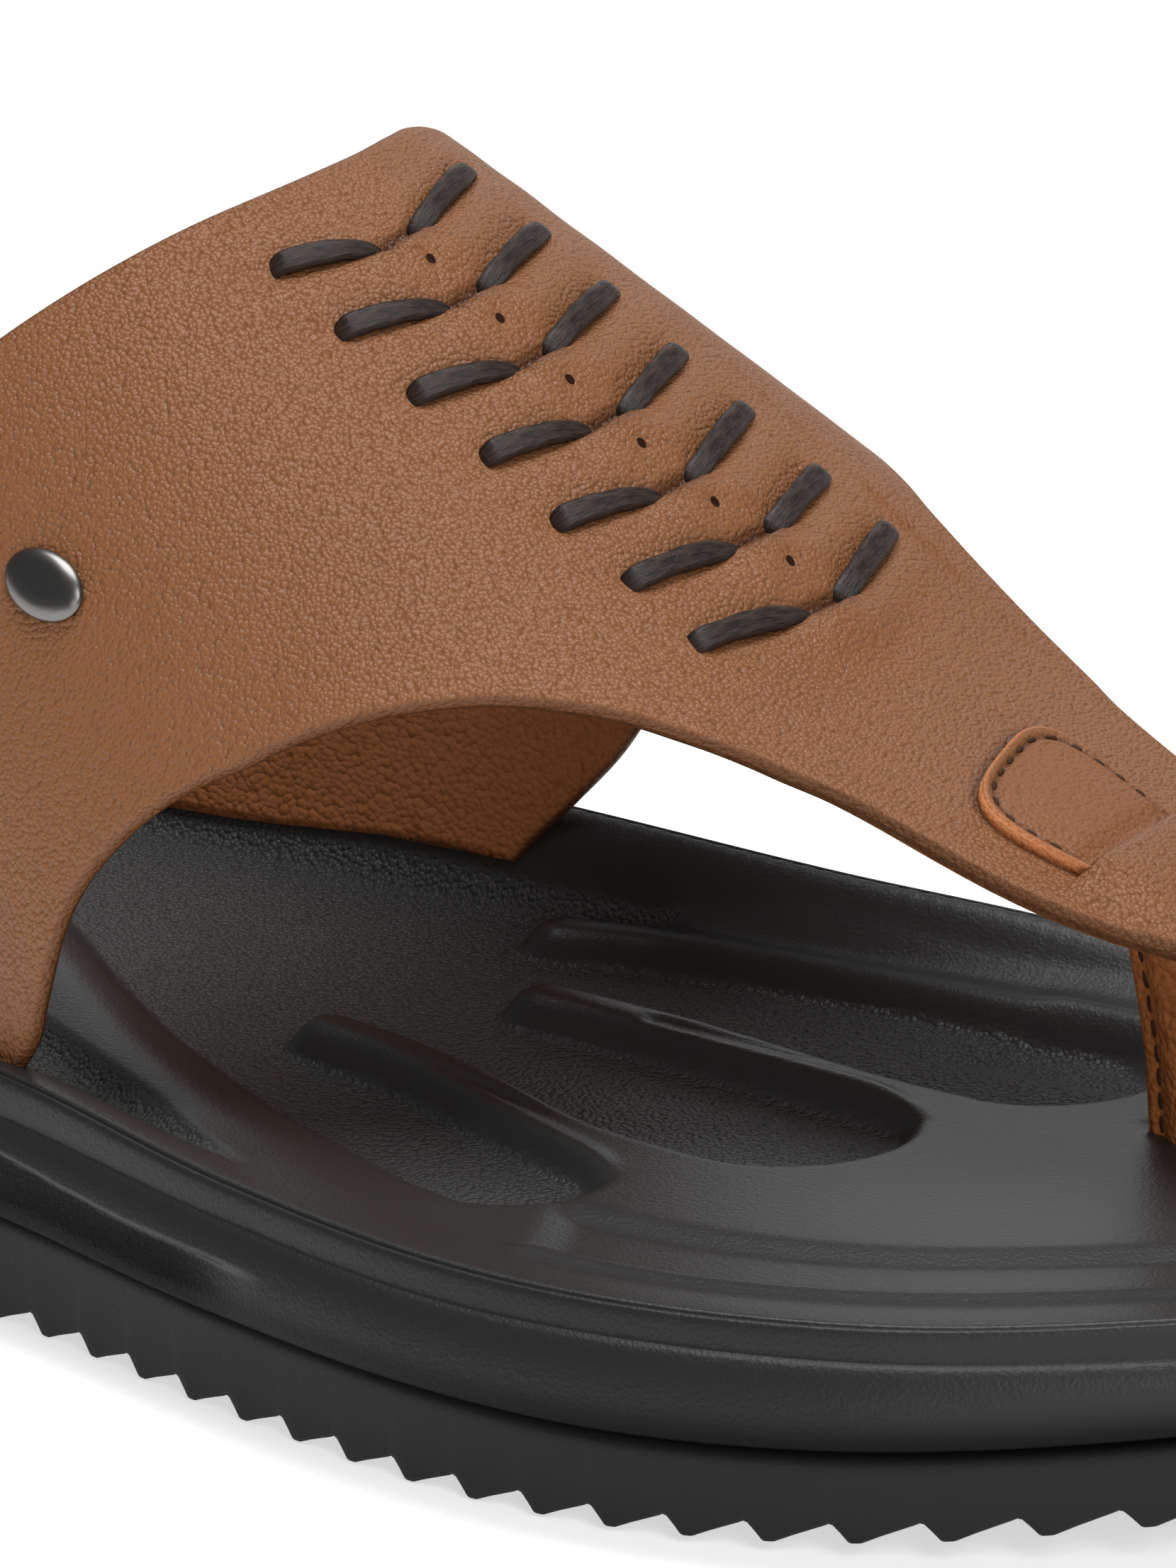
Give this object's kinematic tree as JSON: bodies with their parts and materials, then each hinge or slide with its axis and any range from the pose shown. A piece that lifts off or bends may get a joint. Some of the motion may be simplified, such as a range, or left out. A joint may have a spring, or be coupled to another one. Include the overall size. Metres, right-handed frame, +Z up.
{
  "type": "leather thong slipper",
  "caption": "Leather thong slipper for the right foot: open instep vamp with dark chevron lacing, a sewn toe post, a moulded footbed and a rippled black sole",
  "frame": {"origin": "on the floor, under the middle of the sole's length and width", "axes": "+X from heel to toe, +Y towards the medial (inner) side of the right foot, +Z up"},
  "size_m": [0.285, 0.1094, 0.1015],
  "materials": {
    "outsole_rubber": "matte black rubber",
    "midsole_foam": "satin black moulded foam",
    "footbed_foam": "satin black moulded foam with grained recesses",
    "tan_leather": "tan pebbled leather",
    "strap_leather": "smooth tan leather",
    "lacing_leather": "dark waxed leather lacing",
    "stud_metal": "brushed"
  },
  "bodies": {
    "root": {"outsole": "outsole_rubber", "midsole": "midsole_foam", "footbed": "footbed_foam", "upper": "tan_leather", "toe_post": "strap_leather", "post_tab": "strap_leather", "lace_lateral_1": "lacing_leather", "lace_lateral_2": "lacing_leather", "lace_lateral_3": "lacing_leather", "lace_lateral_4": "lacing_leather", "lace_lateral_5": "lacing_leather", "lace_lateral_6": "lacing_leather", "lace_lateral_7": "lacing_leather", "lace_medial_1": "lacing_leather", "lace_medial_2": "lacing_leather", "lace_medial_3": "lacing_leather", "lace_medial_4": "lacing_leather", "lace_medial_5": "lacing_leather", "lace_medial_6": "lacing_leather", "lace_medial_7": "lacing_leather", "stud": "stud_metal"}
  },
  "joints": []
}
